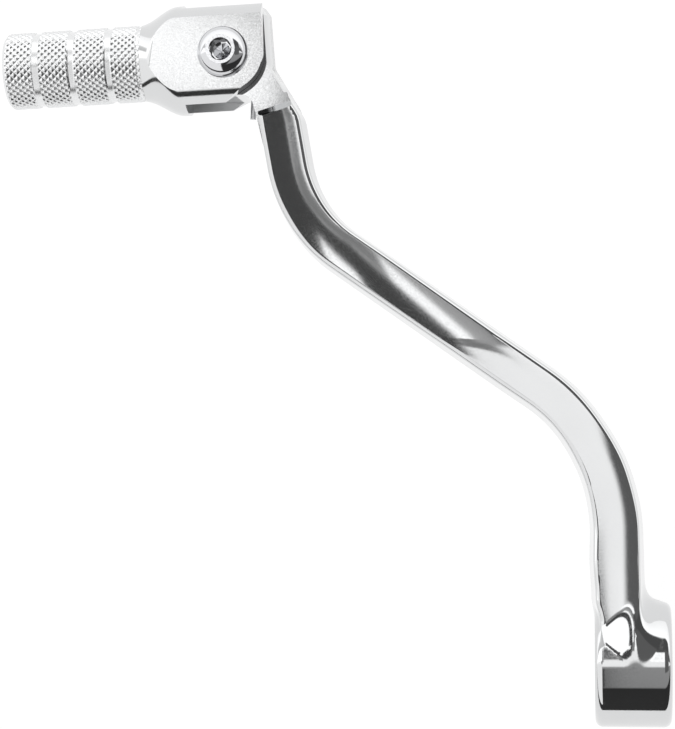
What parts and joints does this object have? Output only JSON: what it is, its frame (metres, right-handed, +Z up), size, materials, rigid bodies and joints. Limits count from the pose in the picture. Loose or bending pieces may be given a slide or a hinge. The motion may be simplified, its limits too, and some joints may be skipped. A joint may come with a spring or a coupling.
{
  "type": "gear shift lever",
  "caption": "Curved forged motorcycle gear shift lever with a splined pinch hub at one end and a spring-loaded folding knurled toe tip at the other.",
  "frame": {"origin": "centre of the splined bore, on the shift shaft's axis and on the arm's middle plane", "axes": "+X along the shift shaft towards the engine, +Y forwards along the arm, +Z up, towards the side that carries the head of the pivot bolt"},
  "size_m": [0.139, 0.1504, 0.0298],
  "materials": {
    "polished_aluminium": "mirror-polished forged aluminium",
    "turned_aluminium": "turned, knurled and polished aluminium",
    "plated_steel": "bright plated steel",
    "zinc_steel": "zinc-plated steel",
    "spring_steel": "drawn spring wire",
    "nylon": "moulded nylon"
  },
  "bodies": {
    "lever": {"lever_arm": "polished_aluminium", "pinch_bolt": "zinc_steel", "return_spring": "spring_steel"},
    "tip": {"toe_tip": "turned_aluminium", "pivot_bolt": "plated_steel", "pivot_bushing": "zinc_steel", "pivot_washer": "zinc_steel", "pivot_nut": "zinc_steel", "nut_insert": "nylon"}
  },
  "joints": [
    {"name": "tip_fold", "type": "hinge", "parent": "lever", "child": "tip", "pos_m": [-0.0842, 0.1265, 0], "axis": [0, 0, 1], "range_deg": [0, 50], "stiffness_Nm_per_rad": 0.15, "springref_deg": -114.59, "deforming": ["return_spring"]}
  ]
}
